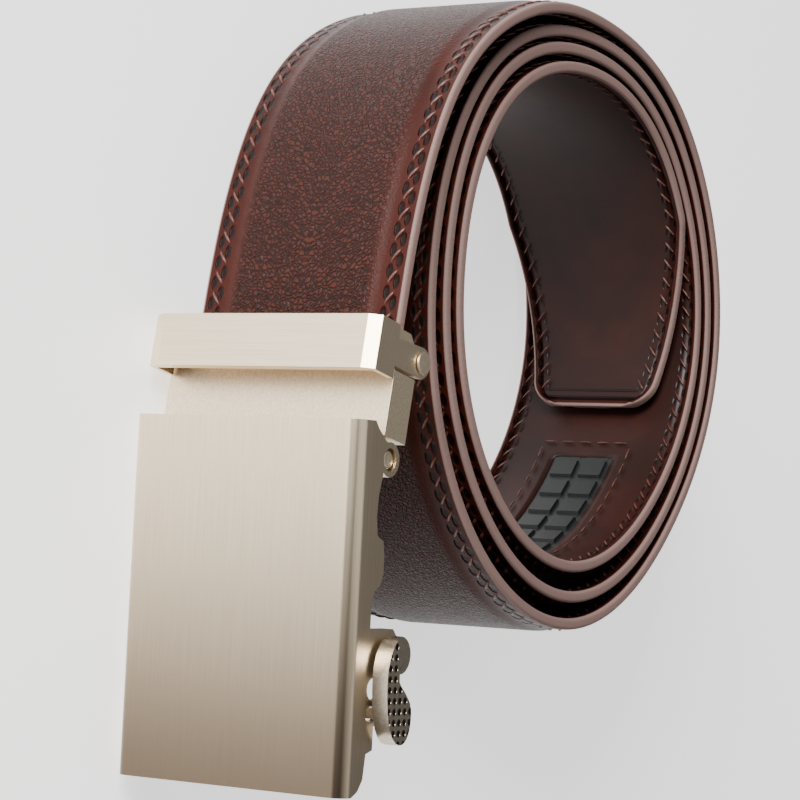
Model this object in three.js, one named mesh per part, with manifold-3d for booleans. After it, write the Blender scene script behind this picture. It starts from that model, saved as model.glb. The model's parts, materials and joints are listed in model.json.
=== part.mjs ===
// A ratchet belt lying on its edges: a long leather strap wound into a loose coil, and an
// automatic buckle at its outer end. Millimetres, +Z up along the coil's axis.
import * as THREE from "three";
import { mergeVertices } from "three/addons/utils/BufferGeometryUtils.js";
import Module from "manifold-3d";

const wasm = await Module();
wasm.setup();

// Strap
const STRAP_WIDTH = 35;
const EDGE_THICKNESS = 1.9;
const PADDING = 0.5; // the padded centre stands this far proud of the flat borders
const FLAT_BORDER = 3.8;
const PAD_SLOPE = 2.2;
const LEAST_FOOT = 0.16; // the padding's half width where the tip narrows, as shares of the strap's
const LEAST_CROWN = 0.06;
const EDGE_CHAMFER = 0.35;
const TIP_WIDTH = 23;
const TIP_TAPER = 34;
const TIP_CORNER = 4.5;
const STATION_STEP = 6.8;

// Lining, set flush into a recess on the strap's inner face
const LINING_THICKNESS = 0.5;
const LINING_INSET = 1.2;
const GLUE_GAP = 0.15;
const SIDE_GAP = 0.3;

// Ratchet track, let into the strap and seen through the lining's window
const TRACK_START = 116;
const TRACK_TEETH = 26;
const TOOTH_PITCH = 5;
const TOOTH_LENGTH = 3.4;
const TOOTH_FLANK = 0.3;
const TOOTH_HEIGHT = 0.6;
const TOOTH_WIDTH = 4.3;
const TRACK_GROOVE = 1.3;
const TRACK_BASE = 0.4;
const TRACK_RIM = 1.3;
const TRACK_RECESS = 0.1;
const VALLEY_HEIGHT = 0.06;
const WINDOW_GAP = 0.85;
const POCKET_STEP = 2.5;

// Coil. Angles are in degrees, counterclockwise from +X, and grow from the tip to the buckle.
const COIL_RADIUS = 40; // about the innermost turn's radius
const WINDING_GAP = 0.35;
const TIP_ANGLE = 71.5;
const LEAVE_ANGLE = 1290;
const TIP_SINK = 0.06; // how far the loose tip springs inwards, as a share of the coil's radius
// One row for each direction. inner is the innermost turn's radius, and the slack columns are the
// room in the second, third and fourth turns beyond a tight winding, all as shares of COIL_RADIUS.
const COIL_TABLE = [
  { direction: 90, inner: 1.0, slack_2: 0.025, slack_3: 0.06, slack_4: 0.092 },
  { direction: 135, inner: 1.03, slack_2: 0.002, slack_3: 0.022, slack_4: 0.046 },
  { direction: 180, inner: 1.015, slack_2: 0.0, slack_3: 0.0, slack_4: 0.0 },
  { direction: 225, inner: 1.057, slack_2: 0.031, slack_3: 0.041, slack_4: 0.118 },
  { direction: 270, inner: 1.009, slack_2: 0.03, slack_3: 0.069, slack_4: 0.335 },
  { direction: 315, inner: 0.997, slack_2: 0.039, slack_3: 0.097, slack_4: null },
  { direction: 0, inner: 1.02, slack_2: 0.055, slack_3: 0.097, slack_4: null },
  { direction: 45, inner: 1.022, slack_2: 0.045, slack_3: 0.06, slack_4: null },
];

// Buckle as a whole. The strap's stiff end holds it just off the surface. Its own origin is the
// hinge axis.
const BUCKLE_WIDTH = 39.2;
const BUCKLE_CLEARANCE = 1.8;
const HINGE_X = 26.5;
const BUCKLE_STANDOFF = 19.8; // from the third turn out to the hinge axis
const NECK_TURN = 11; // degrees that the clamp is swung from the face plate's line
const FIT = 0.3; // clearance between metal pieces
const STRAP_SIDE_ROOM = 0.2;
const PIN_RADIUS = 1;
const HINGE_PIN_RADIUS = 1.35;
const PIN_HEAD_RADIUS = 1.7;
const PIN_HEAD_GAP = 0.1;
const PIN_HEAD_REACH = 0.5;
const PIN_SUNK = 0.3;
const BARREL_WALL = 0.7;

// Face plate, one casting: the front with rounded long edges, and two side walls behind it
const PLATE_LENGTH = 52.4;
const PLATE_BEHIND_HINGE = 5.3;
const PLATE_FRONT = 8.4; // from the hinge axis to the plate's front
const PLATE_WALL = 1.5;
const PLATE_ROUND = 2.2;
const ROUND_STEPS = 4;
const HINGE_EAR_RADIUS = 2.5;
const BLIND_WALL = 0.7; // left over the ends of the hidden pawl pin
// The free edge of a side wall from the clamp's end on, measured from the hinge axis: along as a
// share of PLATE_LENGTH, back as a share of PLATE_FRONT.
const WALL_EDGE = [
  { along: -0.101, back: -0.494 },
  { along: -0.08, back: -0.381 },
  { along: -0.046, back: -0.119 },
  { along: 0.044, back: -0.2 },
  { along: 0.096, back: -0.298 },
  { along: 0.156, back: -0.327 },
  { along: 0.206, back: -0.274 },
  { along: 0.219, back: -0.083 },
  { along: 0.256, back: -0.036 },
  { along: 0.305, back: -0.03 },
  { along: 0.338, back: -0.119 },
  { along: 0.355, back: -0.292 },
  { along: 0.393, back: -0.357 },
  { along: 0.676, back: -0.357 },
  { along: 0.695, back: -0.119 },
  { along: 0.777, back: -0.113 },
  { along: 0.786, back: -0.31 },
  { along: 0.853, back: -0.369 },
  { along: 0.884, back: -0.512 },
  { along: 0.899, back: -0.7 },
];
const BAR_X = 36.6; // the bar that keeps the strap's free end in the channel
const BAR_LENGTH = 4;
const BAR_Y = -2.4;
const BAR_WALL = 1.3;
const LEVER_EAR_X = 23.8;
const LEVER_EAR_LENGTH = 13.6;
const LEVER_EAR_RISE = 4.1;
const LEVER_EAR_FALL = 4.9;
const LEVER_EAR_CORNER = 1;
const WINDOW_X = 30.6; // the open slot in front of the lever's own
const WINDOW_LENGTH = 3.2;
const WINDOW_LOW = -3.1;
const WINDOW_HIGH = 2.4;

// Pawl and release lever, one piece that turns on the pawl pin
const PAWL_X = 14.8;
const PAWL_Y = -2.3;
const PAWL_WIDTH = 12;
const PAWL_REACH = 8.3;
const PAWL_TOOTH = 1.8;
const PAWL_TOOTH_DROP = 1.6;
const PAWL_BARREL_RADIUS = 1.8;
const PAWL_BACK = 0.6;
const ARM_WALL = 1.4;
const ARM_DEPTH = 1.3;
const TAB_X = 34.9;
const TAB_LENGTH = 1.5;
const TAB_LOW = -0.5;
const TAB_WALL = 1.6;
const SLOT_TRAVEL = 2.8; // how far the tab slides down the slot when the lever is pressed
const PAD_STANDOFF = 0.6;
const PAD_WALL = 2.5;
const PAD_LENGTH = 14.8;
const PAD_X = 25.1;
const PAD_Y = -2.75;
const LOBE_X = 27.4;
const LOBE_Y = 2.4;
const LOBE_RADIUS = 2.7;
const LOBE_WALL = 1.3;

// Clamp frame and lid, in the neck's own axes: x along the neck, y towards the coil
const STRAP_MOUTH = -24;
const STRAP_END = -5;
const STRAP_LINE = 1;
const FRAME_START = -19.1;
const FRAME_END = -3;
const SIDE_PLATE_START = -12.6; // from here on the frame's sides are as wide as the lid's
const SIDE_PLATE_STEP = 0.2;
const NECK_START = -12.9;
const NECK_FRONT_WALL = 1.25;
const BED_WALL = 1.2;
const STRAP_ROOM = 0.45;
const END_WALL = 0.5;
const KNUCKLE_WEB = 2;
const LID_LENGTH = 7.9;
const LID_DEPTH = 8.3;
const LID_WALL = 1.6;
const LID_CHEEK_WALL = 0.9;
const LID_BEVEL_WIDE = 2;
const LID_BEVEL_DEEP = 0.9;
const LID_CHEEK_END = -2.5;
const ARM_START = -17;
const ARM_LENGTH = 4;
const ARM_OVERLAP = 1;
const LID_PIN_X = -15.33;
const LID_PIN_Y = 4.46;
const ARM_END_RADIUS = 2.3;
const JAW_X = -14.4;
const JAW_WALL = 1.2;
const JAW_TEETH = 14;
const JAW_TOOTH_HEIGHT = 0.8;

const NICKEL = { color: 0xc9bca8, roughness: 0.35, metalness: 1 };
const STEEL = { color: 0xb7aea2, roughness: 0.3, metalness: 1 };
const LEATHER = { color: 0x4f1d14, roughness: 0.45, metalness: 0 };
const LINING_LEATHER = { color: 0x3a1712, roughness: 0.6, metalness: 0 };
const TRACK_PLASTIC = { color: 0x17181a, roughness: 0.5, metalness: 0 };

const radians = THREE.MathUtils.degToRad;
const halfEdge = EDGE_THICKNESS / 2;
const recessDepth = LINING_THICKNESS + GLUE_GAP;
const buckleHalf = BUCKLE_WIDTH / 2;
const buckleHeight = buckleHalf + BUCKLE_CLEARANCE;
const strapLift = buckleHeight - STRAP_WIDTH / 2;
const holeRadius = PIN_RADIUS + FIT;
const barrelRadius = holeRadius + BARREL_WALL;
const hingeHoleRadius = HINGE_PIN_RADIUS + FIT;

// Solids and meshes

function solidFrom(geometry) {
  const bare = geometry.index ? geometry.toNonIndexed() : geometry.clone();
  bare.deleteAttribute("normal");
  bare.deleteAttribute("uv");
  const merged = mergeVertices(bare, 1e-4);
  const vertProperties = merged.attributes.position.array;
  const triVerts = new Uint32Array(merged.index.array);
  return new wasm.Manifold(new wasm.Mesh({ numProp: 3, vertProperties, triVerts }));
}

function meshFrom(name, solid, finish) {
  const { numVert, numProp, vertProperties, triVerts } = solid.getMesh();
  const positions = new Float32Array(numVert * 3);
  for (let i = 0; i < numVert; i++) {
    positions.set(vertProperties.subarray(i * numProp, i * numProp + 3), i * 3);
  }
  const geometry = new THREE.BufferGeometry();
  geometry.setAttribute("position", new THREE.BufferAttribute(positions, 3));
  geometry.setIndex(new THREE.BufferAttribute(triVerts, 1));
  geometry.computeVertexNormals();
  const mesh = new THREE.Mesh(geometry, new THREE.MeshStandardMaterial(finish));
  mesh.name = name;
  return mesh;
}

function join(...solids) {
  return solids.reduce((whole, piece) => whole.add(piece));
}

function shapeFrom(corners) {
  return new THREE.Shape(corners.map(([x, y]) => new THREE.Vector2(x, y)));
}

// A flat piece with the given outline seen along Z, from one height to another.
function slab(corners, low, high) {
  const shape = corners instanceof THREE.Shape ? corners : shapeFrom(corners);
  const settings = { depth: high - low, bevelEnabled: false, curveSegments: 8 };
  return solidFrom(new THREE.ExtrudeGeometry(shape, settings).translate(0, 0, low));
}

function block(x0, x1, y0, y1, low, high) {
  return slab([[x0, y0], [x1, y0], [x1, y1], [x0, y1]], low, high);
}

// A length of section that runs along X. Each corner is [z, y].
function rail(corners, from, to) {
  const settings = { depth: to - from, bevelEnabled: false };
  const geometry = new THREE.ExtrudeGeometry(shapeFrom(corners), settings);
  return solidFrom(geometry.rotateY(-Math.PI / 2).translate(to, 0, 0));
}

function rod(x, y, radius, low, high, sides = 20) {
  const geometry = new THREE.CylinderGeometry(radius, radius, high - low, sides);
  return solidFrom(geometry.rotateX(Math.PI / 2).translate(x, y, (low + high) / 2));
}

// The same piece on both sides of the buckle's middle plane.
function bothSides(make) {
  return [make(1), make(-1)];
}

function sideSlab(side, corners, near, far) {
  return side > 0 ? slab(corners, near, far) : slab(corners, -far, -near);
}

function sideRod(side, x, y, radius, near, far) {
  return side > 0 ? rod(x, y, radius, near, far) : rod(x, y, radius, -far, -near);
}

// Coil path

const TABLE_STEP = 360 / COIL_TABLE.length;
const windingPitch = EDGE_THICKNESS + PADDING + WINDING_GAP;

function tableRadius(index) {
  if (index < 0) return COIL_RADIUS * (COIL_TABLE[0].inner - TIP_SINK);
  const row = COIL_TABLE[index % COIL_TABLE.length];
  const turn = Math.floor(index / COIL_TABLE.length);
  const slack = [0, row.slack_2, row.slack_3, row.slack_4][turn];
  return COIL_RADIUS * (row.inner + slack) + turn * windingPitch;
}

// Catmull-Rom between the table's directions.
function coilRadius(angle) {
  const place = (angle - COIL_TABLE[0].direction) / TABLE_STEP;
  const index = Math.floor(place);
  const t = place - index;
  const [before, from, to, after] = [-1, 0, 1, 2].map((k) => tableRadius(index + k));
  const rise = (to - before) / 2;
  const fall = (after - from) / 2;
  const a = 2 * from - 2 * to + rise + fall;
  const b = 3 * to - 3 * from - 2 * rise - fall;
  return ((a * t + b) * t + rise) * t + from;
}

function coilPoint(angle) {
  const radius = coilRadius(angle);
  return new THREE.Vector2(Math.cos(radians(angle)), Math.sin(radians(angle))).multiplyScalar(radius);
}

const BUCKLE_TABLE_INDEX = 20; // the third turn, towards -Y, where the buckle stands
const hinge = new THREE.Vector2(HINGE_X, -(tableRadius(BUCKLE_TABLE_INDEX) + BUCKLE_STANDOFF));

function neckPoint(x, y) {
  return new THREE.Vector2(x, y).rotateAround(new THREE.Vector2(), radians(-NECK_TURN)).add(hinge);
}

// The strap's middle line from the tip, round the coil, out along a curve and into the clamp.
const LEAVE_HANDLE = 0.42;
const MOUTH_HANDLE = 0.42;

function strapLine() {
  const points = [];
  for (let angle = TIP_ANGLE; angle < LEAVE_ANGLE; angle += 1) points.push(coilPoint(angle));
  const leave = coilPoint(LEAVE_ANGLE);
  const heading = leave.clone().sub(points[points.length - 1]).normalize();
  const mouth = neckPoint(STRAP_MOUTH, STRAP_LINE);
  const end = neckPoint(STRAP_END, STRAP_LINE);
  const inward = end.clone().sub(mouth).normalize();
  const span = leave.distanceTo(mouth);
  const curve = new THREE.CubicBezierCurve(
    leave,
    leave.clone().addScaledVector(heading, span * LEAVE_HANDLE),
    mouth.clone().addScaledVector(inward, -span * MOUTH_HANDLE),
    mouth,
  );
  return [...points, ...curve.getPoints(60), end];
}

const line = strapLine();
const travelled = [0];
for (let i = 1; i < line.length; i++) {
  travelled.push(travelled[i - 1] + line[i].distanceTo(line[i - 1]));
}
const strapLength = travelled[travelled.length - 1];

// Where the strap's middle line is at a distance from the tip, and which way is outwards.
function placeAt(distance) {
  let i = travelled.findIndex((d) => d >= distance);
  if (i < 0) i = line.length - 1;
  i = Math.max(i, 1);
  const along = (k) => {
    const from = line[Math.max(k - 1, 0)];
    return line[Math.min(k + 1, line.length - 1)].clone().sub(from).normalize();
  };
  const t = (distance - travelled[i - 1]) / (travelled[i] - travelled[i - 1]);
  const point = line[i - 1].clone().lerp(line[i], t);
  const heading = along(i - 1).lerp(along(i), Math.min(t, 1)).normalize();
  return { point, outward: new THREE.Vector2(heading.y, -heading.x) };
}

// The strap rises from the surface to the buckle's middle height along its last stretch.
const RISE_START = 150; // distances before the strap's buckle end
const RISE_END = 38;

function middleHeight(distance) {
  const left = strapLength - distance;
  return STRAP_WIDTH / 2 + strapLift * (1 - THREE.MathUtils.smoothstep(left, RISE_END, RISE_START));
}

function halfWidthAt(distance) {
  const taper = Math.min(distance / TIP_TAPER, 1);
  const half = THREE.MathUtils.lerp(TIP_WIDTH, STRAP_WIDTH, taper) / 2;
  const short = Math.max(TIP_CORNER - distance, 0);
  return half - (TIP_CORNER - Math.sqrt(TIP_CORNER ** 2 - short ** 2));
}

// A solid carried along the strap. Each section is a list of [outward, upward] corners.
function sweep(distances, sectionAt) {
  const positions = [];
  const rings = distances.map((distance) => {
    const { point, outward } = placeAt(distance);
    const middle = middleHeight(distance);
    return sectionAt(distance).map(([out, up]) => [
      point.x + out * outward.x,
      point.y + out * outward.y,
      middle + up,
    ]);
  });
  const count = rings[0].length;
  const face = (...corners) => corners.forEach((corner) => positions.push(...corner));
  for (let k = 1; k < rings.length; k++) {
    for (let i = 0; i < count; i++) {
      const j = (i + 1) % count;
      face(rings[k - 1][i], rings[k][i], rings[k][j]);
      face(rings[k - 1][i], rings[k][j], rings[k - 1][j]);
    }
  }
  const cap = (ring, distance, flip) => {
    const flat = sectionAt(distance).map(([out, up]) => new THREE.Vector2(out, up));
    for (const [a, b, c] of THREE.ShapeUtils.triangulateShape(flat, [])) {
      if (flip) face(ring[a], ring[c], ring[b]);
      else face(ring[a], ring[b], ring[c]);
    }
  };
  cap(rings[0], distances[0], false);
  cap(rings[rings.length - 1], distances[distances.length - 1], true);
  const geometry = new THREE.BufferGeometry();
  geometry.setAttribute("position", new THREE.Float32BufferAttribute(positions, 3));
  return solidFrom(geometry);
}

function evenly(from, to, step) {
  const count = Math.max(1, Math.ceil((to - from) / step));
  return Array.from({ length: count + 1 }, (_, i) => from + ((to - from) * i) / count);
}

function boxSection(half, inner, outer) {
  return [[inner, -half], [outer, -half], [outer, half], [inner, half]];
}

const CORNER_STEPS = 4;
const strapStations = [
  ...Array.from({ length: CORNER_STEPS }, (_, i) =>
    TIP_CORNER * (1 - Math.cos((i * Math.PI) / 2 / CORNER_STEPS)),
  ),
  ...evenly(TIP_CORNER, TIP_TAPER, STATION_STEP),
  ...evenly(TIP_TAPER, strapLength, STATION_STEP).slice(1),
];

function strapSection(distance) {
  const half = halfWidthAt(distance);
  const padFoot = Math.max(half - FLAT_BORDER, half * LEAST_FOOT);
  const padTop = Math.max(half - FLAT_BORDER - PAD_SLOPE, half * LEAST_CROWN);
  return [
    [-halfEdge, -half + EDGE_CHAMFER],
    [-halfEdge + EDGE_CHAMFER, -half],
    [halfEdge - EDGE_CHAMFER, -half],
    [halfEdge, -half + EDGE_CHAMFER],
    [halfEdge, -padFoot],
    [halfEdge + PADDING, -padTop],
    [halfEdge + PADDING, padTop],
    [halfEdge, padFoot],
    [halfEdge, half - EDGE_CHAMFER],
    [halfEdge - EDGE_CHAMFER, half],
    [-halfEdge + EDGE_CHAMFER, half],
    [-halfEdge, half - EDGE_CHAMFER],
  ];
}

const trackLength = TRACK_TEETH * TOOTH_PITCH + TOOTH_PITCH - TOOTH_LENGTH - 2 * TOOTH_FLANK;
const trackEnd = TRACK_START + trackLength;
const toothHalf = TOOTH_WIDTH + TRACK_GROOVE / 2;
const trackHalf = toothHalf + TRACK_RIM;
const trackTop = -halfEdge + TRACK_RECESS;
const trackBase = trackTop + TOOTH_HEIGHT;
const trackBack = trackBase + TRACK_BASE;
const CUT_OVER = 1; // cutting tools run this far past what they cut

// The stations past a given inset, for what lies inside the strap's outline.
function stationsFrom(start) {
  return [start, ...strapStations.filter((d) => d > start + SIDE_GAP)];
}

function strap() {
  const body = sweep(strapStations, strapSection);
  const recess = sweep([...stationsFrom(LINING_INSET), strapLength + CUT_OVER], (distance) =>
    boxSection(halfWidthAt(distance) - LINING_INSET, -halfEdge - CUT_OVER, -halfEdge + recessDepth),
  );
  const pocketStations = evenly(TRACK_START - SIDE_GAP, trackEnd + SIDE_GAP, POCKET_STEP);
  const pocket = sweep(pocketStations, () =>
    boxSection(trackHalf + SIDE_GAP, -halfEdge - CUT_OVER, trackBack + GLUE_GAP),
  );
  return body.subtract(recess).subtract(pocket);
}

function lining() {
  const start = LINING_INSET + SIDE_GAP;
  const sheet = sweep(stationsFrom(start), (distance) =>
    boxSection(halfWidthAt(distance) - start, -halfEdge, -halfEdge + LINING_THICKNESS),
  );
  const windowStations = evenly(TRACK_START, trackEnd, POCKET_STEP);
  const window = sweep(windowStations, () =>
    boxSection(toothHalf + WINDOW_GAP, -halfEdge - CUT_OVER, halfEdge),
  );
  return sheet.subtract(window);
}

function ratchetTrack() {
  const stations = [TRACK_START];
  const heights = new Map([[TRACK_START, VALLEY_HEIGHT]]);
  const valley = TOOTH_PITCH - TOOTH_LENGTH - 2 * TOOTH_FLANK;
  for (let tooth = 0; tooth < TRACK_TEETH; tooth++) {
    const foot = TRACK_START + valley + tooth * TOOTH_PITCH;
    const corners = [
      [foot, VALLEY_HEIGHT],
      [foot + TOOTH_FLANK, TOOTH_HEIGHT],
      [foot + TOOTH_FLANK + TOOTH_LENGTH, TOOTH_HEIGHT],
      [foot + 2 * TOOTH_FLANK + TOOTH_LENGTH, VALLEY_HEIGHT],
    ];
    for (const [distance, height] of corners) {
      stations.push(distance);
      heights.set(distance, height);
    }
  }
  stations.push(trackEnd);
  heights.set(trackEnd, VALLEY_HEIGHT);
  return sweep(stations, (distance) => {
    const crest = trackBase - heights.get(distance);
    const groove = TRACK_GROOVE / 2;
    return [
      [trackBack, -trackHalf],
      [trackBack, trackHalf],
      [trackBase, trackHalf],
      [trackBase, toothHalf],
      [crest, toothHalf],
      [crest, groove],
      [trackBase, groove],
      [trackBase, -groove],
      [crest, -groove],
      [crest, -toothHalf],
      [trackBase, -toothHalf],
      [trackBase, -trackHalf],
    ];
  });
}

// Heights across the buckle, measured from its middle plane
const wallInside = STRAP_WIDTH / 2 + STRAP_SIDE_ROOM;
const knuckleHalf = wallInside - FIT;
const cheekInside = buckleHalf - LID_CHEEK_WALL;
const frameOutside = cheekInside - FIT;
const sidePlateOutside = buckleHalf - SIDE_PLATE_STEP;

// Pins

function headedPin(x, y) {
  const headStart = buckleHalf + PIN_HEAD_GAP;
  const headEnd = buckleHalf + PIN_HEAD_REACH;
  const heads = bothSides((side) => sideRod(side, x, y, PIN_HEAD_RADIUS, headStart, headEnd));
  return join(rod(x, y, PIN_RADIUS, -headStart, headStart), ...heads);
}

function plainPin(x, y, radius, half) {
  return rod(x, y, radius, -half, half);
}

// Clamp frame and lid

const strapFront = STRAP_LINE - halfEdge - PADDING;
const strapBack = STRAP_LINE + halfEdge;
const bedFront = strapBack + STRAP_ROOM;
const bedBack = bedFront + BED_WALL;
const neckFrontBack = strapFront - STRAP_ROOM;
const neckFront = neckFrontBack - NECK_FRONT_WALL;
const EAR_CORNER = 1.2;
const BOSS_FOOT = 2.2;

function clampFrame() {
  const earSide = [
    [FRAME_START, neckFront],
    [FRAME_END, neckFront],
    [FRAME_END, bedBack],
    [LID_PIN_X + BOSS_FOOT, bedBack],
    [LID_PIN_X + barrelRadius, LID_PIN_Y],
    [LID_PIN_X - barrelRadius, LID_PIN_Y],
    [LID_PIN_X - BOSS_FOOT, bedBack],
    [FRAME_START + EAR_CORNER, bedBack],
    [FRAME_START, bedBack - EAR_CORNER],
  ];
  const sides = bothSides((side) => sideSlab(side, earSide, wallInside, frameOutside));
  const sidePlate = [
    [SIDE_PLATE_START, neckFront],
    [FRAME_END, neckFront],
    [FRAME_END, bedBack],
    [SIDE_PLATE_START, bedBack],
  ];
  const plates = bothSides((side) => sideSlab(side, sidePlate, wallInside, sidePlateOutside));
  const bosses = bothSides((side) =>
    sideRod(side, LID_PIN_X, LID_PIN_Y, barrelRadius, wallInside, frameOutside),
  );
  const front = block(NECK_START, FRAME_END, neckFront, neckFrontBack, -frameOutside, frameOutside);
  const bed = block(
    FRAME_START + EAR_CORNER, FRAME_END, bedFront, bedBack, -frameOutside, frameOutside,
  );
  const endWall = block(
    FRAME_END - END_WALL, FRAME_END, neckFront, bedBack, -knuckleHalf, knuckleHalf,
  );
  const web = block(
    FRAME_END - END_WALL, 0, -KNUCKLE_WEB / 2, KNUCKLE_WEB / 2, -knuckleHalf, knuckleHalf,
  );
  const knuckle = rod(0, 0, hingeHoleRadius + BARREL_WALL, -knuckleHalf, knuckleHalf);
  return join(...sides, ...plates, ...bosses, front, bed, endWall, web, knuckle)
    .subtract(rod(0, 0, hingeHoleRadius, -buckleHalf, buckleHalf))
    .subtract(rod(LID_PIN_X, LID_PIN_Y, holeRadius, -buckleHalf, buckleHalf));
}

// An open tray section as [z, y] corners. Its outer corners are the given points, each as how far
// it is in from the side and back from the front. y grows towards the coil.
function traySection(half, frontAt, wall, sideInside, sideEnd, corner) {
  const left = corner.map(([inwards, back]) => [-half + inwards, frontAt + back]);
  const right = corner.map(([inwards, back]) => [half - inwards, frontAt + back]).reverse();
  return [
    [-half, sideEnd],
    ...left,
    ...right,
    [half, sideEnd],
    [sideInside, sideEnd],
    [sideInside, frontAt + wall],
    [-sideInside, frontAt + wall],
    [-sideInside, sideEnd],
  ];
}

function clampLid() {
  const front = -LID_DEPTH;
  const corner = [
    [0, LID_BEVEL_DEEP],
    [LID_BEVEL_WIDE, 0],
  ];
  const tray = rail(
    traySection(buckleHalf, front, LID_WALL, cheekInside, LID_CHEEK_END, corner),
    FRAME_START,
    FRAME_START + LID_LENGTH,
  );
  const armShape = [
    [ARM_START, LID_CHEEK_END - ARM_OVERLAP],
    [ARM_START + ARM_LENGTH, LID_CHEEK_END - ARM_OVERLAP],
    [LID_PIN_X + ARM_END_RADIUS, LID_PIN_Y],
    [LID_PIN_X - ARM_END_RADIUS, LID_PIN_Y],
  ];
  const arms = bothSides((side) => sideSlab(side, armShape, cheekInside, buckleHalf));
  const ends = bothSides((side) =>
    sideRod(side, LID_PIN_X, LID_PIN_Y, ARM_END_RADIUS, cheekInside, buckleHalf),
  );
  const jawHalf = STRAP_WIDTH / 2 - FIT;
  const jawTip = strapFront - FIT;
  const jawFoot = jawTip - JAW_TOOTH_HEIGHT;
  const teeth = [];
  for (let i = 0; i < JAW_TEETH; i++) {
    const z = jawHalf - (2 * jawHalf * i) / JAW_TEETH;
    teeth.push([z, jawFoot], [z - jawHalf / JAW_TEETH, jawTip]);
  }
  const jawSection = [
    [-jawHalf, jawFoot],
    [-jawHalf, front + LID_WALL / 2],
    [jawHalf, front + LID_WALL / 2],
    ...teeth,
  ];
  const jaw = rail(jawSection, JAW_X, JAW_X + JAW_WALL);
  return join(tray, ...arms, ...ends, jaw).subtract(
    rod(LID_PIN_X, LID_PIN_Y, holeRadius, -buckleHalf - CUT_OVER, buckleHalf + CUT_OVER),
  );
}

// Face plate and release lever, with x along the plate from the hinge axis

const plateStart = -PLATE_BEHIND_HINGE;
const plateEnd = plateStart + PLATE_LENGTH;

function roundSlot(x, length, low, high) {
  const radius = length / 2;
  const near = wallInside - CUT_OVER;
  const far = buckleHalf + CUT_OVER;
  return join(
    rod(x + radius, low + radius, radius, near, far),
    rod(x + radius, high - radius, radius, near, far),
    block(x, x + length, low + radius, high - radius, near, far),
  );
}

function facePlate() {
  const corner = Array.from({ length: ROUND_STEPS + 1 }, (_, i) => {
    const turn = (i * Math.PI) / 2 / ROUND_STEPS;
    return [PLATE_ROUND * (1 - Math.cos(turn)), PLATE_ROUND * (1 - Math.sin(turn))];
  });
  const tray = rail(
    traySection(buckleHalf, -PLATE_FRONT, PLATE_WALL, wallInside, HINGE_EAR_RADIUS, corner),
    plateStart,
    plateEnd,
  );
  const edge = WALL_EDGE.map(({ along, back }) => [along * PLATE_LENGTH, back * PLATE_FRONT]);
  const outline = [
    [plateEnd + CUT_OVER, -PLATE_FRONT - CUT_OVER],
    [plateEnd + CUT_OVER, edge[edge.length - 1][1]],
    ...edge.reverse(),
    [plateStart - CUT_OVER, edge[edge.length - 1][1]],
    [plateStart - CUT_OVER, -PLATE_FRONT - CUT_OVER],
  ];
  const casting = tray.intersect(slab(outline, -buckleHalf - CUT_OVER, buckleHalf + CUT_OVER));
  const hingeEars = bothSides((side) =>
    sideRod(side, 0, 0, HINGE_EAR_RADIUS, wallInside, buckleHalf),
  );
  const earEnd = LEVER_EAR_X + LEVER_EAR_LENGTH;
  const leverEar = slab(
    [
      [LEVER_EAR_X, -PLATE_FRONT / 2],
      [earEnd, -PLATE_FRONT / 2],
      [earEnd, LEVER_EAR_RISE - LEVER_EAR_FALL],
      [earEnd - LEVER_EAR_CORNER, LEVER_EAR_RISE],
      [LEVER_EAR_X + LEVER_EAR_CORNER, LEVER_EAR_RISE],
      [LEVER_EAR_X, LEVER_EAR_RISE - LEVER_EAR_CORNER],
    ],
    wallInside,
    buckleHalf,
  );
  const barHalf = wallInside + BLIND_WALL;
  const bar = block(BAR_X, BAR_X + BAR_LENGTH, BAR_Y, BAR_Y + BAR_WALL, -barHalf, barHalf);
  const tabSlot = roundSlot(
    TAB_X - FIT, TAB_LENGTH + 2 * FIT, TAB_LOW - SLOT_TRAVEL, TAB_LOW + TAB_WALL + 2 * FIT,
  );
  return join(casting, ...hingeEars, leverEar, bar)
    .subtract(rod(0, 0, hingeHoleRadius, -buckleHalf - CUT_OVER, buckleHalf + CUT_OVER))
    .subtract(plainPin(PAWL_X, PAWL_Y, holeRadius, buckleHalf - BLIND_WALL))
    .subtract(roundSlot(WINDOW_X, WINDOW_LENGTH, WINDOW_LOW, WINDOW_HIGH))
    .subtract(tabSlot);
}

// The thumb pad's outline in shares of its length: a narrow nose, a bulge and a hollow between them.
function padShape() {
  const at = (along, across) => [PAD_X + along * PAD_LENGTH, PAD_Y + across * PAD_LENGTH];
  const shape = new THREE.Shape();
  shape.moveTo(...at(0, 0.18));
  shape.bezierCurveTo(...at(0.03, 0.09), ...at(0.2, 0), ...at(0.38, 0));
  shape.bezierCurveTo(...at(0.62, 0), ...at(0.98, 0.05), ...at(1, 0.27));
  shape.bezierCurveTo(...at(1, 0.4), ...at(0.88, 0.46), ...at(0.71, 0.46));
  shape.bezierCurveTo(...at(0.56, 0.46), ...at(0.47, 0.26), ...at(0.4, 0.22));
  shape.lineTo(...at(0.02, 0.2));
  return shape;
}

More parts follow.
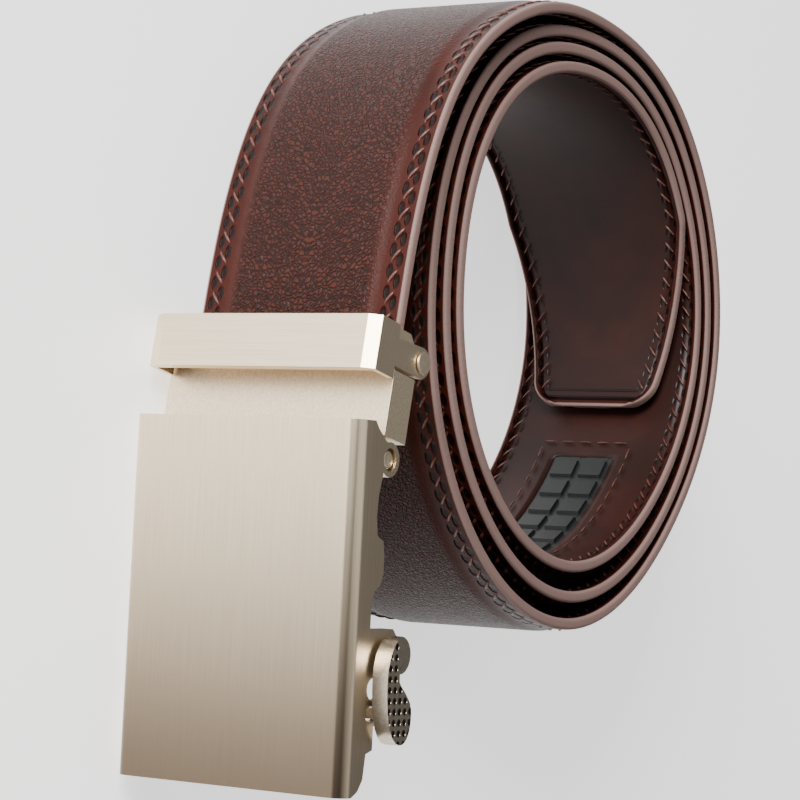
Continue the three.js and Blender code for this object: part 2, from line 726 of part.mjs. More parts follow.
function releaseLever() {
  const padLow = buckleHalf + PAD_STANDOFF;
  const armOutside = wallInside - FIT;
  const armInside = armOutside - ARM_WALL;
  const barrel = rod(PAWL_X, PAWL_Y, PAWL_BARREL_RADIUS, -PAWL_WIDTH / 2, armOutside);
  const pawlTip = PAWL_X - PAWL_REACH;
  const pawl = slab(
    [
      [PAWL_X, PAWL_Y - PAWL_BARREL_RADIUS],
      [PAWL_X, PAWL_Y + PAWL_BARREL_RADIUS],
      [pawlTip, PAWL_Y + PAWL_BACK],
      [pawlTip, PAWL_Y - PAWL_TOOTH_DROP],
      [pawlTip + PAWL_TOOTH, PAWL_Y - PAWL_BACK],
    ],
    -PAWL_WIDTH / 2,
    PAWL_WIDTH / 2,
  );
  const arm = slab(
    [
      [PAWL_X, PAWL_Y - ARM_DEPTH / 2],
      [TAB_X + TAB_LENGTH, TAB_LOW - ARM_DEPTH / 2],
      [TAB_X + TAB_LENGTH, TAB_LOW + ARM_DEPTH / 2],
      [PAWL_X, PAWL_Y + ARM_DEPTH / 2],
    ],
    armInside,
    armOutside,
  );
  const tab = block(
    TAB_X, TAB_X + TAB_LENGTH, TAB_LOW, TAB_LOW + TAB_WALL, armInside, padLow + PAD_WALL / 2,
  );
  const pad = slab(padShape(), padLow, padLow + PAD_WALL);
  const lobe = rod(LOBE_X, LOBE_Y, LOBE_RADIUS, padLow, padLow + LOBE_WALL);
  return join(barrel, pawl, arm, tab, pad, lobe).subtract(
    rod(PAWL_X, PAWL_Y, holeRadius, -buckleHalf, buckleHalf),
  );
}

// The belt

const neck = new THREE.Group();
neck.position.set(hinge.x, hinge.y, buckleHeight);
neck.rotation.z = radians(-NECK_TURN);
neck.add(
  meshFrom("clamp_frame", clampFrame(), NICKEL),
  meshFrom("clamp_lid", clampLid(), NICKEL),
  meshFrom("lid_pin", headedPin(LID_PIN_X, LID_PIN_Y), STEEL),
  meshFrom("hinge_pin", plainPin(0, 0, HINGE_PIN_RADIUS, buckleHalf - PIN_SUNK), STEEL),
);

const buckle = new THREE.Group();
buckle.position.set(hinge.x, hinge.y, buckleHeight);
buckle.add(
  meshFrom("face_plate", facePlate(), NICKEL),
  meshFrom("pawl_pin", plainPin(PAWL_X, PAWL_Y, PIN_RADIUS, buckleHalf - BLIND_WALL - FIT), STEEL),
  meshFrom("release_lever", releaseLever(), NICKEL),
);

const belt = new THREE.Group();
belt.add(
  meshFrom("strap", strap(), LEATHER),
  meshFrom("lining", lining(), LINING_LEATHER),
  meshFrom("ratchet_track", ratchetTrack(), TRACK_PLASTIC),
  neck,
  buckle,
);

// The origin is under the middle of the whole belt, on the surface that it stands on.
const bounds = new THREE.Box3().setFromObject(belt);
const middle = bounds.getCenter(new THREE.Vector3());
belt.position.set(-middle.x, -middle.y, -bounds.min.z);

export default belt;
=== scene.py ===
# %% [markdown]
# A man's ratchet belt stands on its edges, wound into a loose coil, with its automatic buckle on
# the outer end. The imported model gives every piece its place. This notebook makes the finish:
# padded and stitched leather, painted edges, brushed nickel and a black toothed track.

# %% The frame
import json
import math

import bmesh
import bpy
import numpy as np
from mathutils import Matrix, Vector


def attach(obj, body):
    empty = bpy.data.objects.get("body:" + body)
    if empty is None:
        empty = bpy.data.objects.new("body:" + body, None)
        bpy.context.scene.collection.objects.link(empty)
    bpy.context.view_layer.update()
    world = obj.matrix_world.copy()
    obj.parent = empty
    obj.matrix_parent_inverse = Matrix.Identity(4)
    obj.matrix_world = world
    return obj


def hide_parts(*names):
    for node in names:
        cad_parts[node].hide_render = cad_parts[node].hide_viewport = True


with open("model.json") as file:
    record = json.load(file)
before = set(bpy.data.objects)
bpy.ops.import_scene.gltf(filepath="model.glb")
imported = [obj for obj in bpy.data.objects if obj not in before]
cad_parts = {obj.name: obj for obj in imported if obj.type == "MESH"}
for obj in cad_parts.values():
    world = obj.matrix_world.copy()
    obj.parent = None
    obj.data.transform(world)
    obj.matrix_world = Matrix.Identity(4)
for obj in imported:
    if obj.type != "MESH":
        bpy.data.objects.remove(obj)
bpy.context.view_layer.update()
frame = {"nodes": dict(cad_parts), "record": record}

print("nodes:", sorted(frame["nodes"]))

# %% [markdown]
# All shapes are worked out in millimetres in the coil's own axes, because those are the sizes that
# a belt maker would write down. The buckle's hinge is known in both axes, so it ties them together.

# %% The buckle's hinge in both axes
MM = 0.001
HINGE_X = 26.5
STANDOFF = 19.8
BUCKLE_MIDDLE = 21.4
NECK_TURN = math.radians(-11)
joints = {joint["name"]: joint for joint in frame["record"]["behaviour"]["joints"]}
hinge_place = np.array(joints["buckle_hinge"]["pos_m"]) / MM
print("hinge at", hinge_place)

# %% [markdown]
# The strap is a spiral that no simple formula gives, because the real one was pushed together by
# hand. So a short table holds the innermost turn's radius and the slack between the turns, as
# shares of the coil's radius, and a smooth curve runs through them.

# %% The coil's table
COIL_RADIUS = 40.0
STRAP_WIDTH = 35.0
EDGE = 1.9 / 2
PADDING = 0.5
PITCH = 2 * EDGE + PADDING + 0.35
FIRST_DIRECTION = 90
DIRECTION_STEP = 45
TIP_ANGLE = 71.5
LEAVE_ANGLE = 1290
TIP_SINK = 0.06
INNER = np.array([1.0, 1.03, 1.015, 1.057, 1.009, 0.997, 1.02, 1.022])
SLACK = np.array([
    np.zeros(8),
    [0.025, 0.002, 0.0, 0.031, 0.03, 0.039, 0.055, 0.045],
    [0.06, 0.022, 0.0, 0.041, 0.069, 0.097, 0.097, 0.06],
    [0.092, 0.046, 0.0, 0.118, 0.335, 0.335, 0.335, 0.335],
])


def table_radius(index):
    """Radius at a row of the table: inner share plus slack share, and one pitch for each turn."""
    row = index % len(INNER)
    turn = np.clip(index // len(INNER), 0, len(SLACK) - 1)
    radius = COIL_RADIUS * (INNER[row] + SLACK[turn, row]) + turn * PITCH
    return np.where(index < 0, COIL_RADIUS * (INNER[0] - TIP_SINK), radius)


def coil_points(angle):
    """Catmull-Rom through the table: a cubic whose slopes are half the neighbours' difference."""
    place = (angle - FIRST_DIRECTION) / DIRECTION_STEP
    index = np.floor(place).astype(int)
    t = place - index
    before, start, end, after = (table_radius(index + k) for k in (-1, 0, 1, 2))
    rise = (end - before) / 2
    fall = (after - start) / 2
    a = 2 * start - 2 * end + rise + fall
    b = 3 * end - 3 * start - 2 * rise - fall
    radius = ((a * t + b) * t + rise) * t + start
    turn = np.radians(angle)
    return np.stack([radius * np.cos(turn), radius * np.sin(turn)], axis=1)


hinge = np.array([HINGE_X, -(table_radius(np.array([20]))[0] + STANDOFF)])
to_model = np.array([*(hinge_place[:2] - hinge), 0.0])
print("coil centre in the model, mm:", to_model.round(3))

# %% [markdown]
# The last turn leaves the coil and bends towards the clamp in one soft sweep. A cubic Bezier curve
# joins the two, because its handles lie along both headings and so leave no kink in the leather.

# %% The strap's middle line, from the tip to the clamp
CENTRE_STEP = 0.5
SWEEP_POINTS, CLAMPED_POINTS = 120, 30
MOUTH_X, END_X, STRAP_LINE = -24.0, -5.0, 1.0
HANDLE = 0.42


def neck_point(x, y):
    """A point given along the swung neck, turned about the hinge."""
    cos, sin = math.cos(NECK_TURN), math.sin(NECK_TURN)
    return hinge + np.array([x * cos - y * sin, x * sin + y * cos])


def bezier(a, b, c, d, t):
    """Cubic Bezier: the four points weighted by the powers of t and 1 - t."""
    u = 1 - t
    return u**3 * a + 3 * u * u * t * b + 3 * u * t * t * c + t**3 * d


def strap_line():
    """The coil's points, the sweep to the clamp's mouth and the straight run inside the clamp."""
    angles = np.arange(TIP_ANGLE, LEAVE_ANGLE, CENTRE_STEP)
    coil = coil_points(angles)
    leave = coil_points(np.array([float(LEAVE_ANGLE)]))[0]
    heading = (leave - coil[-1]) / np.linalg.norm(leave - coil[-1])
    mouth = neck_point(MOUTH_X, STRAP_LINE)
    end = neck_point(END_X, STRAP_LINE)
    inward = (end - mouth) / np.linalg.norm(end - mouth)
    reach = HANDLE * np.linalg.norm(mouth - leave)
    t = np.linspace(0, 1, SWEEP_POINTS)[:, None]
    curve = bezier(leave, leave + heading * reach, mouth - inward * reach, mouth, t)
    straight = mouth + (end - mouth) * np.linspace(0, 1, CLAMPED_POINTS)[1:, None]
    return np.concatenate([coil, curve, straight])


line = strap_line()
travelled = np.concatenate([[0], np.cumsum(np.linalg.norm(np.diff(line, axis=0), axis=1))])
strap_length = travelled[-1]
line_heading = np.gradient(line, travelled, axis=0)
line_heading /= np.linalg.norm(line_heading, axis=1)[:, None]
turning = np.unwrap(np.arctan2(line_heading[:, 1], line_heading[:, 0]))
print("strap length, mm:", round(float(strap_length), 1))
print("turns:", round(float(turning[-1] - turning[0]) / (2 * math.pi), 2))

# %% [markdown]
# Any place on the belt is now three numbers: how far along the strap, how far out from its middle
# line and how far up. The strap tapers at its tip, and near the clamp it rises to the buckle.

# %% Places on the strap
TIP_WIDTH, TIP_TAPER, TIP_CORNER = 23.0, 34.0, 4.5
RISE_START, RISE_END = 150.0, 38.0


def half_width(distance):
    """Half the strap's width: a straight taper to the tip, with a quarter circle at each corner."""
    taper = np.minimum(distance / TIP_TAPER, 1)
    half = (TIP_WIDTH + (STRAP_WIDTH - TIP_WIDTH) * taper) / 2
    short = np.clip(TIP_CORNER - distance, 0, TIP_CORNER)
    return half - (TIP_CORNER - np.sqrt(TIP_CORNER**2 - short**2))


def middle_height(distance):
    """Height of the strap's middle: it rises with a smoothstep to the buckle's middle."""
    t = np.clip((strap_length - distance - RISE_END) / (RISE_START - RISE_END), 0, 1)
    lift = BUCKLE_MIDDLE - STRAP_WIDTH / 2
    return STRAP_WIDTH / 2 + lift * (1 - t * t * (3 - 2 * t))


def on_strap(distance, out, up):
    """Points at a distance along the strap, out from its middle line and up from its middle."""
    x = np.interp(distance, travelled, line[:, 0])
    y = np.interp(distance, travelled, line[:, 1])
    hx = np.interp(distance, travelled, line_heading[:, 0])
    hy = np.interp(distance, travelled, line_heading[:, 1])
    size = np.hypot(hx, hy)
    points = [x + out * hy / size, y - out * hx / size, middle_height(distance) + up]
    return (np.stack(points, axis=-1) + to_model) * MM


print("half width at the tip and the clamp, mm:", half_width(np.array([0.0, strap_length])).round(2))

# %% [markdown]
# Every leather piece is a grid: rows along the strap, columns across it. One helper turns such a
# grid into a mesh, closes it if it is a tube, and keeps two numbers in its UV map, the distance
# along the strap and the distance across it. Grain and stitch holes then follow the leather.

# %% Grid to mesh


def mesh_object(name, points, faces, uv=None, smooth=True):
    """A mesh object at the origin from an (n, 3) array and a list or array of faces."""
    mesh = bpy.data.meshes.new(name)
    mesh.from_pydata(np.asarray(points).tolist(), [], np.asarray(faces, dtype=object).tolist())
    if uv is not None:
        layer = mesh.uv_layers.new(name="leather")
        corner = np.empty(len(mesh.loops), dtype=np.int32)
        mesh.loops.foreach_get("vertex_index", corner)
        layer.data.foreach_set("uv", np.asarray(uv, dtype=np.float32)[corner].ravel())
    mesh.polygons.foreach_set("use_smooth", np.full(len(mesh.polygons), smooth))
    mesh.update()
    piece = bpy.data.objects.new(name, mesh)
    bpy.context.scene.collection.objects.link(piece)
    return piece


def quads(rows, columns, closed):
    """Corner numbers of a grid's faces; a closed grid also joins its last column to its first."""
    steps = columns if closed else columns - 1
    i, j = np.meshgrid(np.arange(rows - 1), np.arange(steps), indexing="ij")
    k = (j + 1) % columns
    corners = [i * columns + j, (i + 1) * columns + j, (i + 1) * columns + k, i * columns + k]
    return np.stack(corners, axis=-1).reshape(-1, 4)


def tube_object(name, points, uv):
    """A closed grid with its two ends capped."""
    rows, columns = points.shape[:2]
    faces = quads(rows, columns, True).tolist()
    faces.append(list(range(columns)))
    faces.append(list(range((rows - 1) * columns, rows * columns))[::-1])
    return mesh_object(name, points.reshape(-1, 3), faces, uv.reshape(-1, 2))


print("faces of a closed grid of 3 by 4 points:", len(quads(3, 4, True)))

# %% [markdown]
# Nodes for the finishes come next. A small helper adds nodes and links them in one call, so that
# each finish reads as a recipe.

# %% Material helpers


class Recipe:
    """A node tree under construction, with short calls for the nodes that finishes need."""

    def __init__(self, name):
        self.material = bpy.data.materials.new(name)
        self.material.use_nodes = True
        self.tree = self.material.node_tree
        self.shader = self.tree.nodes["Principled BSDF"]

    def put(self, target, value):
        if isinstance(value, bpy.types.NodeSocket):
            self.tree.links.new(value, target)
        else:
            target.default_value = value

    def node(self, kind, inputs=(), **settings):
        node = self.tree.nodes.new(kind)
        for name, value in settings.items():
            setattr(node, name, value)
        for socket, value in dict(inputs).items():
            self.put(node.inputs[socket], value)
        return node

    def math(self, operation, *values):
        node = self.node("ShaderNodeMath", operation=operation)
        for socket, value in zip(node.inputs, values):
            self.put(socket, value)
        return node.outputs[0]

    def blend(self, factor, first, second):
        node = self.node("ShaderNodeMix", data_type="RGBA")
        self.put(node.inputs[0], factor)
        self.put(node.inputs[6], first)
        self.put(node.inputs[7], second)
        return node.outputs[2]

    def ramp(self, value, low, high):
        inputs = {0: value, 1: low, 2: high}
        return self.node("ShaderNodeMapRange", inputs, interpolation_type="SMOOTHSTEP").outputs[0]

    def noise(self, vector, scale, detail=3.0, rough=0.5):
        inputs = {"Vector": vector, "Scale": scale, "Detail": detail, "Roughness": rough}
        return self.node("ShaderNodeTexNoise", inputs).outputs[0]

    def bump(self, height, strength, distance):
        inputs = {"Height": height, "Strength": strength, "Distance": distance}
        return self.node("ShaderNodeBump", inputs).outputs[0]

    def finish(self, **sockets):
        for name, value in sockets.items():
            self.put(self.shader.inputs[name.replace("_", " ")], value)
        return self.material


def colour(red, green, blue):
    """A shader colour from the usual 0 to 255 screen values: the sRGB curve taken off."""
    screen = np.array([red, green, blue]) / 255
    linear = np.where(screen <= 0.04045, screen / 12.92, ((screen + 0.055) / 1.055) ** 2.4)
    return (*linear.tolist(), 1.0)


print("middle grey as a shader value:", round(colour(128, 128, 128)[0], 3))

# %% [markdown]
# The outer leather has three zones. A pebbled crown fills the padded middle. Smooth, redder slopes
# fall from it to flat borders, where two staggered rows of stitch holes are pressed in. The cut edge
# is painted with a grey-brown edge paint. The UV map says which zone a point is in. The inset counts
# from the nearer edge, so the grain is mirrored about the strap's middle.

# %% Outer leather
FLAT_BORDER, PAD_SLOPE = 3.7, 2.3
STITCH_PITCH = 3.2
ROW_INSETS = (1.55, 2.95)
HOLE_LONG, HOLE_WIDE = 1.3, 0.62
PAINT_START, PAINT_END = 0.6, 0.35
PEBBLES_PER_MM = 1.5
GRAIN_HEIGHT = 0.00022
HOLE_SINK = 2.6
SLOPE_BROWNS = colour(44, 15, 9), colour(56, 20, 12)
# The grain's darker brown is painted shade in the low valleys between the pebbles.
GRAIN_VALLEY_SHADE_BROWNS = colour(26, 11, 8), colour(66, 31, 23)
# The stitch holes' brown is painted shade in the pressed pits.
HOLE_SHADE_BROWN = colour(20, 8, 6)
EDGE_PAINT = colour(128, 104, 98)


def uv_across(recipe):
    """The UV map's distances in millimetres: along the strap, and inwards from the nearer edge."""
    coordinates = recipe.node("ShaderNodeUVMap", uv_map="leather").outputs[0]
    split = recipe.node("ShaderNodeSeparateXYZ", {0: coordinates})
    return coordinates, split.outputs[0], split.outputs[1]


def stitch_holes(recipe, along, inset, rows, pitch, long, wide):
    """Rows of small oval pits, every second row shifted by half a pitch."""
    total = None
    for number, row in enumerate(rows):
        shift = number * 0.5
        cell = recipe.math("FRACT", recipe.math("ADD", recipe.math("DIVIDE", along, pitch), shift))
        away = recipe.math("MULTIPLY", recipe.math("SUBTRACT", cell, 0.5), pitch)
        u = recipe.math("DIVIDE", away, long)
        v = recipe.math("DIVIDE", recipe.math("SUBTRACT", inset, row), wide)
        square = recipe.math("ADD", recipe.math("MULTIPLY", u, u), recipe.math("MULTIPLY", v, v))
        pit = recipe.ramp(square, 1.0, 0.15)
        total = pit if total is None else recipe.math("MAXIMUM", total, pit)
    return total


def outer_leather():
    """Pebbles are cells of a Voronoi pattern, high in the middle and low at their borders."""
    recipe = Recipe("outer_leather")
    coordinates, along, inset = uv_across(recipe)
    crown = recipe.ramp(inset, FLAT_BORDER + 1.2, FLAT_BORDER + 3.0)
    painted = recipe.ramp(inset, PAINT_START, PAINT_END)
    wobble = recipe.noise(coordinates, 0.9, 2.0)
    moved = recipe.node("ShaderNodeVectorMath", {0: coordinates}, operation="ADD")
    recipe.put(moved.inputs[1], recipe.node("ShaderNodeCombineXYZ", {0: wobble, 1: wobble}).outputs[0])
    inputs = {"Vector": moved.outputs[0], "Scale": PEBBLES_PER_MM, "Randomness": 1.0}
    cells = recipe.node("ShaderNodeTexVoronoi", inputs, feature="DISTANCE_TO_EDGE").outputs[0]
    pebble = recipe.ramp(cells, 0.0, 0.3)
    fine = recipe.noise(coordinates, 4.0, 3.0, 0.6)
    broad = recipe.noise(coordinates, 0.06, 2.0)
    holes = stitch_holes(recipe, along, inset, ROW_INSETS, STITCH_PITCH, HOLE_LONG, HOLE_WIDE)
    grain = recipe.math("MULTIPLY", pebble, recipe.math("MULTIPLY_ADD", crown, 0.9, 0.1))
    grain = recipe.math("MULTIPLY_ADD", fine, 0.25, grain)
    height = recipe.math("SUBTRACT", grain, recipe.math("MULTIPLY", holes, HOLE_SINK))
    smooth_tone = recipe.blend(recipe.ramp(broad, 0.3, 0.7), *SLOPE_BROWNS)
    # painted shade: the grain is darker where the pebbles are low, in the valleys between them
    pebble_tone_with_valley_shade = recipe.blend(pebble, *GRAIN_VALLEY_SHADE_BROWNS)
    tone = recipe.blend(recipe.math("MULTIPLY", crown, 0.9), smooth_tone, pebble_tone_with_valley_shade)
    # painted shade: the pressed stitch holes are coloured dark
    tone = recipe.blend(holes, tone, HOLE_SHADE_BROWN)
    tone = recipe.blend(painted, tone, EDGE_PAINT)
    rough = recipe.math("MULTIPLY_ADD", painted, 0.15, 0.38)
    normal = recipe.bump(height, 0.75, GRAIN_HEIGHT)
    return recipe.finish(
        Base_Color=tone, Roughness=rough, Normal=normal, Specular_IOR_Level=0.11, Coat_Weight=0.0,
    )


leather = outer_leather()
print("outer leather nodes:", len(leather.node_tree.nodes))

# %% [markdown]
# The strap is one closed skin: a section carried along the middle line, with the padded crown
# outside and the lining's bed inside. Where the toothed track lies, the bed has a deeper pocket.

# %% Padded strap
ROW_STEP = 0.85
TRACK_ROOM = 0.3
EDGE_ROUND = 0.55
RECESS_INSET, RECESS_DEPTH = 1.2, 0.65
POCKET_DEPTH = 1.3
POCKET_HALF = 6.55
TRACK_START, TRACK_LENGTH = 116.0, 131.0


def smoothstep(value, low, high):
    """0 below low and 1 above high, and between them 3 t squared less 2 t cubed."""
    t = np.clip((value - low) / (high - low), 0, 1)
    return t * t * (3 - 2 * t)


def strap_profile(half, pocket):
    """Half a section from the edge's middle to the strap's middle, outside then inside.

    The edge is a quarter circle each way. Outside, the face is flat to the border's end and then
    rises by a smoothstep to the padded crown. Inside, it steps down to the lining's bed.
    """
    quarter = np.linspace(0, np.pi / 2, 6)
    bend = EDGE_ROUND * (1 - np.cos(quarter))
    arc = EDGE - EDGE_ROUND + EDGE_ROUND * np.sin(quarter)
    border = np.array([0.9, 1.3, 2.2, 3.1])
    slope = FLAT_BORDER + PAD_SLOPE * np.linspace(0, 1, 7)
    middle = np.array([0.4, 0.75, 1.0])
    room = half - slope[-1]
    face = np.concatenate([border, slope, slope[-1] + room * middle])
    outer_inset = np.concatenate([bend, face])
    outer = np.concatenate([arc, EDGE + PADDING * smoothstep(face, slope[0], slope[-1])])
    bed = np.array([RECESS_INSET, RECESS_INSET + 0.02, half - POCKET_HALF, half - POCKET_HALF + 0.02, half])
    inner_inset = np.concatenate([bend, bed])
    floor = -EDGE + np.array([0, RECESS_DEPTH, RECESS_DEPTH, pocket, pocket])
    inner = np.concatenate([-arc, floor])
    return outer_inset, outer, inner_inset, inner


def strap_stations(step):
    """Distances along the strap, crowded at the tip's end, where the edge turns round it."""
    tip = EDGE_ROUND * (1 - np.cos(np.linspace(0.15, np.pi / 2, 6)))
    corner = np.linspace(EDGE_ROUND, TIP_CORNER, 8)[1:]
    rest = np.linspace(TIP_CORNER, strap_length, int((strap_length - TIP_CORNER) / step))[1:]
    return np.concatenate([tip, corner, rest])


def padded_strap():
    """Sections side by side; towards the tip's end each is thinned by a quarter circle."""
    distances = strap_stations(ROW_STEP)
    outs, ups, insets = [], [], []
    for distance in distances:
        half = float(half_width(distance))
        pocketed = TRACK_START - TRACK_ROOM < distance < TRACK_START + TRACK_LENGTH + TRACK_ROOM
        bed = POCKET_DEPTH if pocketed else RECESS_DEPTH
        outer_inset, outer, inner_inset, inner = strap_profile(half, bed)
        thinning = math.sqrt(max(0.02, 1 - max(0.0, 1 - distance / EDGE_ROUND) ** 2))
        out = np.concatenate([outer, outer[-2::-1], inner, inner[-2::-1]])
        up = np.concatenate([
            outer_inset - half, half - outer_inset[-2::-1], half - inner_inset, inner_inset[-2::-1] - half,
        ])
        inset = np.concatenate([outer_inset, outer_inset[-2::-1], inner_inset, inner_inset[-2::-1]])
        outs.append(out * thinning)
        ups.append(up)
        insets.append(np.minimum(inset, distance))
    outs, ups, insets = np.array(outs), np.array(ups), np.array(insets)
    along = np.repeat(distances[:, None], outs.shape[1], axis=1)
    points = on_strap(along, outs, ups)
    return tube_object("padded_strap", points, np.stack([along, insets], axis=-1))


strap = padded_strap()
strap.data.materials.append(leather)
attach(strap, "root")
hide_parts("strap")
print("strap faces:", len(strap.data.polygons))

# %% [markdown]
# The border is sewn with a brown waxed thread. Each stitch lies slanted from the outer row's line
# to the inner row's, so the seam reads as a rope of short oblique ridges beside the pressed holes.
# Every stitch is one small tube, sunk at both ends, and all of them are worked out in one array.

# %% Waxed thread
FACE_BROWNS = colour(62, 28, 20), colour(92, 52, 42)
BACK_BROWNS = colour(64, 28, 20), colour(88, 46, 36)


def waxed_thread(name, dark, light):
    recipe = Recipe(name)
    place = recipe.node("ShaderNodeTexCoord").outputs["Object"]
    twist = recipe.noise(place, 2600.0, 2.0)
    tone = recipe.blend(recipe.ramp(twist, 0.3, 0.7), dark, light)
    return recipe.finish(Base_Color=tone, Roughness=0.42, Normal=recipe.bump(twist, 0.4, 0.00005))


face_thread = waxed_thread("face_thread", *FACE_BROWNS)
back_thread = waxed_thread("back_thread", *BACK_BROWNS)
print("threads:", face_thread.name, back_thread.name)

# %% One tube for each stitch
STITCH_RINGS, STITCH_SIDES = 7, 6


def stitches(name, start, end, surface, radius, lift):
    """Tubes from start to end, both (n, 2) arrays of distance along and height from the middle.

    The radius and the height above the leather both follow the square root of sin(pi t), so a
    stitch rises out of the leather and dives back into it.
    """
    t = np.linspace(0.02, 0.98, STITCH_RINGS)
    swell = np.sqrt(np.sin(np.pi * t))
    middle = start[:, None, :] + (end - start)[:, None, :] * t[None, :, None]
    heading = (end - start) / np.linalg.norm(end - start, axis=1)[:, None]
    across = np.stack([-heading[:, 1], heading[:, 0]], axis=1)
    turn = np.linspace(0, 2 * np.pi, STITCH_SIDES, endpoint=False)
    side = (radius * swell)[:, None] * np.cos(turn)[None, :]
    rise = (radius * swell)[:, None] * np.sin(turn)[None, :] + ((swell - 1) * lift * 2 + lift)[:, None]
    flat = middle[:, :, None, :] + across[:, None, None, :] * side[None, :, :, None]
    out = surface + math.copysign(1, surface) * np.broadcast_to(rise, flat.shape[:3])
    points = on_strap(flat[..., 0], out, flat[..., 1]).reshape(-1, 3)
    tube = quads(STITCH_RINGS, STITCH_SIDES, True)
    each = STITCH_RINGS * STITCH_SIDES
    sides = (tube[None] + (np.arange(len(start)) * each)[:, None, None]).reshape(-1, 4).tolist()
    first = np.arange(STITCH_SIDES)[::-1]
    last = np.arange(STITCH_SIDES) + each - STITCH_SIDES
    ends = [(cap + number * each).tolist() for number in range(len(start)) for cap in (first, last)]
    return mesh_object(name, points, sides + ends)


print("faces of one stitch:", (STITCH_RINGS - 1) * STITCH_SIDES + 2)

# %% [markdown]
# The same seam shows on both faces of the strap. The thread is pulled flatter on the lining's side.

# %% Border seams
SEAM_START, SEAM_END_ROOM = 3.0, 14.0
STITCH_SLANT = 1.9


def border_seam(name, surface, radius, lift, finish):
    """Slanted stitches along both borders, one for each pitch, from the outer row to the inner."""
    starts = np.arange(SEAM_START, strap_length - SEAM_END_ROOM, STITCH_PITCH)
    halves = half_width(starts)
    outer, inner = [], []
    for side in (1, -1):
        outer.append(np.stack([starts, side * (halves - ROW_INSETS[0])], axis=1))
        inner.append(np.stack([starts + STITCH_SLANT, side * (halves - ROW_INSETS[1])], axis=1))
    piece = stitches(name, np.concatenate(outer), np.concatenate(inner), surface, radius, lift)
    piece.data.materials.append(finish)
    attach(piece, "root")
    print(name, len(piece.data.polygons))


border_seam("face_seam", EDGE, 0.27, 0.06, face_thread)
border_seam("back_seam", -EDGE, 0.2, 0.05, back_thread)

# %% [markdown]
# The buckle's pieces are castings and pressed sheet with small rounded edges. A copy of each packed
# node is merged and its edges are rounded by a bevel, which keeps every real size and lets the
# edges catch the light. The finish is a champagne nickel, brushed along one direction.

# %% Brushed nickel
ALONG_PLATE = (60.0, 9000.0, 9000.0)
ACROSS_PLATE = (9000.0, 9000.0, 60.0)
EVERY_WAY = (2500.0, 2500.0, 2500.0)
NICKELS = colour(218, 200, 172), colour(240, 222, 194)
SHADED_NICKEL = colour(90, 76, 62)
SHADE_LENGTH = 0.065


def brushed_nickel(name, brush, roughness, shade=0.0):
    """Nickel with fine scratches along one axis: noise that is stretched along the brushing.

    The shade darkens the front gradually towards the buckle's free end, and the other faces a
    fifth as much. It stands in for the reflection of a dim studio wall, so it is painted light and
    no property of the plating.
    """
    recipe = Recipe(name)
    place = recipe.node("ShaderNodeTexCoord").outputs["Object"]
    stretch = recipe.node("ShaderNodeMapping", {"Vector": place, "Scale": brush}).outputs[0]
    scratches = recipe.noise(stretch, 1.0, 4.0, 0.65)
    broad = recipe.noise(place, 60.0, 2.0)
    tone = recipe.blend(recipe.ramp(scratches, 0.3, 0.7), *NICKELS)
    along = recipe.node("ShaderNodeSeparateXYZ", {0: place}).outputs[0]
    facing = recipe.node("ShaderNodeTexCoord").outputs["Normal"]
    front = recipe.ramp(recipe.node("ShaderNodeSeparateXYZ", {0: facing}).outputs[1], 0.1, -0.7)
    shaded = recipe.math("MULTIPLY", recipe.ramp(along, 0.0, SHADE_LENGTH), shade)
    shaded = recipe.math("MULTIPLY", shaded, recipe.math("MULTIPLY_ADD", front, 0.8, 0.2))
    tone = recipe.blend(shaded, tone, SHADED_NICKEL)
    rough = recipe.math("MULTIPLY_ADD", broad, 0.06, roughness)
    normal = recipe.bump(scratches, 0.12, 0.00002)
    return recipe.finish(Base_Color=tone, Metallic=1.0, Roughness=rough, Normal=normal)


plate_finish = brushed_nickel("plate_nickel", ALONG_PLATE, 0.28, 0.95)
lid_finish = brushed_nickel("lid_nickel", ACROSS_PLATE, 0.3)
cast_finish = brushed_nickel("cast_nickel", EVERY_WAY, 0.36)
print("finishes:", plate_finish.name, lid_finish.name, cast_finish.name)

# %% [markdown]
# The bevel's angle limit tells real corners from the facets of a round face. The lid's own bevels
# are blunt, so its limit is lower.

# %% Rounded copies of the buckle's nodes
MERGE_DISTANCE = 2e-6
FLAT_ANGLE = 1


def rounded_copy(name, node, width, body, finish, least_angle=25):
    """The node's solid with merged corners, joined flat faces and bevelled edges."""
    mesh = frame["nodes"][node].data.copy()
    solid = bmesh.new()
    solid.from_mesh(mesh)
    bmesh.ops.remove_doubles(solid, verts=solid.verts, dist=MERGE_DISTANCE)
    limit = math.radians(FLAT_ANGLE)
    bmesh.ops.dissolve_limit(solid, angle_limit=limit, verts=solid.verts, edges=solid.edges)
    solid.to_mesh(mesh)
    solid.free()
    mesh.polygons.foreach_set("use_smooth", np.ones(len(mesh.polygons), dtype=bool))
    mesh.materials.clear()
    mesh.materials.append(finish)
    piece = bpy.data.objects.new(name, mesh)
    bpy.context.scene.collection.objects.link(piece)
    bevel = piece.modifiers.new("rounded edges", "BEVEL")
    bevel.width = width * MM
    bevel.segments = 3
    bevel.limit_method = "ANGLE"
    bevel.angle_limit = math.radians(least_angle)
    piece.modifiers.new("even shading", "WEIGHTED_NORMAL")
    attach(piece, body)
    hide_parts(node)
    return piece


for name, node, width, body, finish, slot, angle in (
    ("plate", "face_plate", 0.35, "buckle", plate_finish, "brushed_nickel", 25),
    ("lid", "clamp_lid", 0.25, "lid", lid_finish, "brushed_nickel", 20),
    ("frame_casting", "clamp_frame", 0.15, "root", cast_finish, "brushed_nickel", 25),
    ("lid_rivet", "lid_pin", 0.3, "root", cast_finish, "pin_steel", 25),
    ("hinge_rivet", "hinge_pin", 0.3, "root", cast_finish, "pin_steel", 25),
    ("pawl_rivet", "pawl_pin", 0.2, "buckle", cast_finish, "pin_steel", 25),
):
    rounded_copy(name, node, width, body, finish, angle)
    print(name, "edges rounded by", width, "mm")
